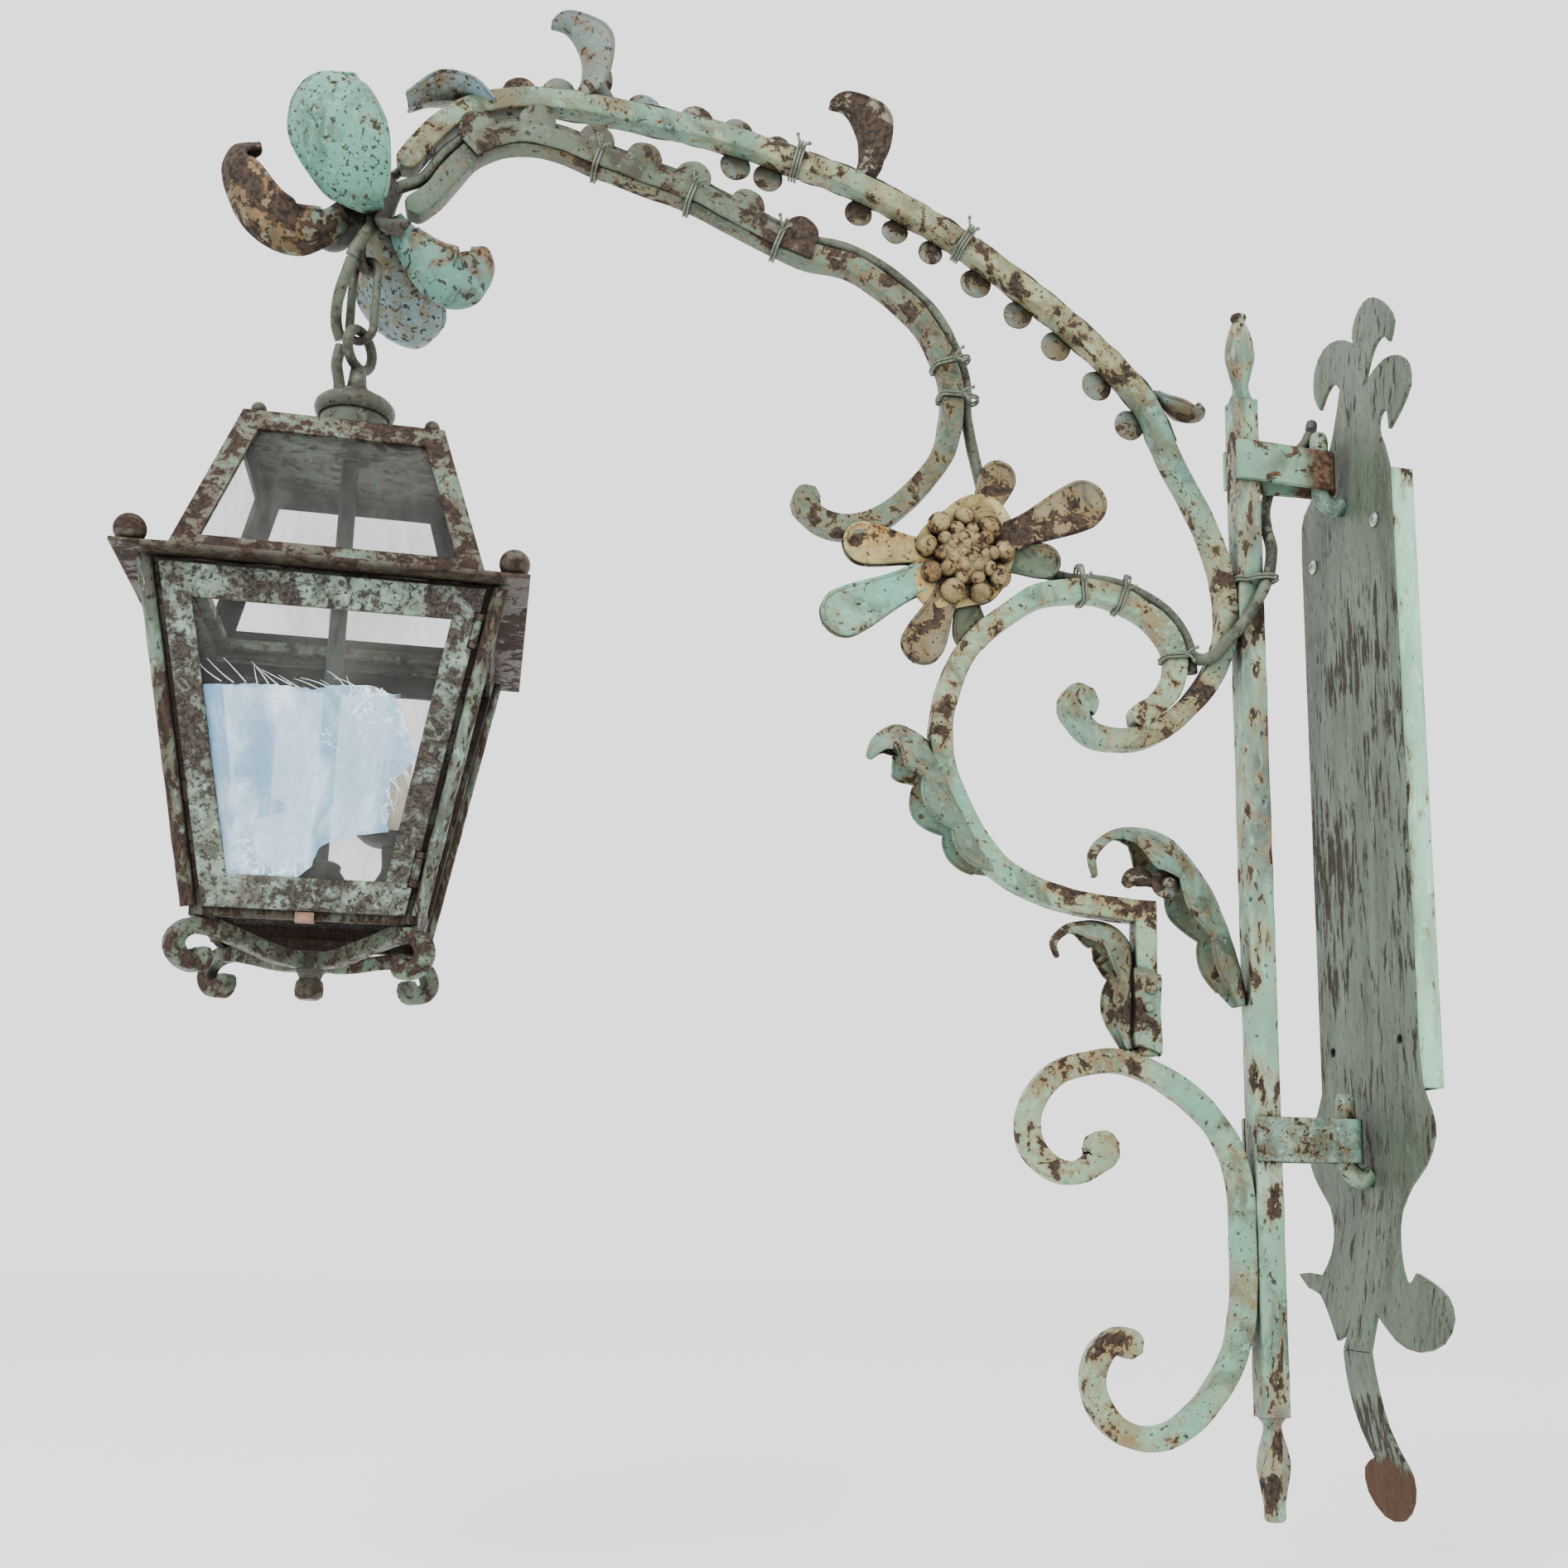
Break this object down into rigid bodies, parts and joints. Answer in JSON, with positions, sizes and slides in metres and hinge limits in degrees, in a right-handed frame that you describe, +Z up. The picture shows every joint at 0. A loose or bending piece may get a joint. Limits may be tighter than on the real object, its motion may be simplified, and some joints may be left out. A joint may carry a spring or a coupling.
{
  "type": "wall lantern",
  "caption": "Scrolled iron wall bracket that swings on hook pintles and hangs a square glazed lantern with a hinged door by a hook and link.",
  "frame": {"origin": "middle of the wall channel's back face, on the wall", "axes": "+Z up, the bracket reaches out from the wall along -Y, +X is the side that the lantern's door faces"},
  "size_m": [0.242, 0.875, 1.057],
  "materials": {
    "green_paint": "pale green brushed paint, chipped to brown rust",
    "grey_green_paint": "grey-green paint with dark vertical streaks and rust at the edges",
    "verdigris_paint": "blue-green paint, rusty at rims and folds",
    "cream_paint": "cream-yellow paint with rust flecks",
    "rusted_iron": "dark brown rusted iron with remains of grey paint",
    "zinc_screw": "bright zinc",
    "clear_glass": "clear glass",
    "cable_sheath": "black sheath painted over in green along the bars",
    "ivory_sleeve": "ivory",
    "terminal_plastic": "off-white",
    "copper_strip": "bare copper"
  },
  "bodies": {
    "wall": {"wall_channel": "green_paint", "back_plate": "grey_green_paint", "plate_screw_near": "zinc_screw", "plate_screw_far": "zinc_screw", "upper_pintle": "green_paint", "lower_pintle": "green_paint", "terminal_block": "terminal_plastic", "wall_cable": "cable_sheath"},
    "bracket": {"post": "green_paint", "upper_strap": "green_paint", "lower_strap": "green_paint", "main_arm": "green_paint", "lower_arm": "verdigris_paint", "middle_scroll": "green_paint", "lower_scroll": "green_paint", "rosette_front": "cream_paint", "rosette_back": "verdigris_paint", "rosette_berries": "cream_paint", "petal_near": "verdigris_paint", "petal_far": "verdigris_paint", "petal_left": "verdigris_paint", "petal_right": "verdigris_paint", "flower_heart": "rusted_iron", "calyx_leaf": "verdigris_paint", "arm_garland_outer": "grey_green_paint", "arm_garland_middle": "grey_green_paint", "arm_garland_inner": "grey_green_paint", "lower_garland": "grey_green_paint", "scroll_leaf": "grey_green_paint", "post_leaf": "grey_green_paint", "corner_leaf": "grey_green_paint", "arm_cable": "cable_sheath", "hook": "rusted_iron"},
    "link": {"hanging_link": "grey_green_paint", "link_cable": "cable_sheath"},
    "lantern": {"lantern_ring": "rusted_iron", "cap": "grey_green_paint", "roof_frame": "grey_green_paint", "roof_glass_near": "clear_glass", "roof_glass_right": "clear_glass", "roof_glass_far": "clear_glass", "roof_glass_left": "clear_glass", "cornice": "rusted_iron", "body_frame": "grey_green_paint", "glass_right": "clear_glass", "glass_far": "clear_glass", "glass_left": "clear_glass", "base_cross": "grey_green_paint", "stem_tube": "rusted_iron", "candle_hub": "rusted_iron", "drip_pan_near": "rusted_iron", "drip_pan_far": "rusted_iron", "candle_sleeve_near": "ivory_sleeve", "candle_sleeve_far": "ivory_sleeve", "bulb_near": "clear_glass", "bulb_far": "clear_glass", "lantern_cable": "cable_sheath", "door_catch": "copper_strip"},
    "door": {"door_frame": "grey_green_paint", "door_glass": "clear_glass"}
  },
  "joints": [
    {"name": "bracket_swing", "type": "hinge", "parent": "wall", "child": "bracket", "pos_m": [0, -0.04, 0], "axis": [0, 0, 1], "range_deg": [-60, 60]},
    {"name": "link_swing", "type": "hinge", "parent": "bracket", "child": "link", "pos_m": [0, -0.754, 0.318], "axis": [0.866, -0.5, 0], "range_deg": [-20, 20]},
    {"name": "lantern_swing", "type": "hinge", "parent": "link", "child": "lantern", "pos_m": [0, -0.754, 0.2647], "axis": [0.5, 0.866, 0], "range_deg": [-20, 20]},
    {"name": "door_swing", "type": "hinge", "parent": "lantern", "child": "door", "pos_m": [0.06885, -0.6957, -0.14452], "axis": [0.1764, 0.1764, 0.9684], "range_deg": [0, 100]}
  ]
}
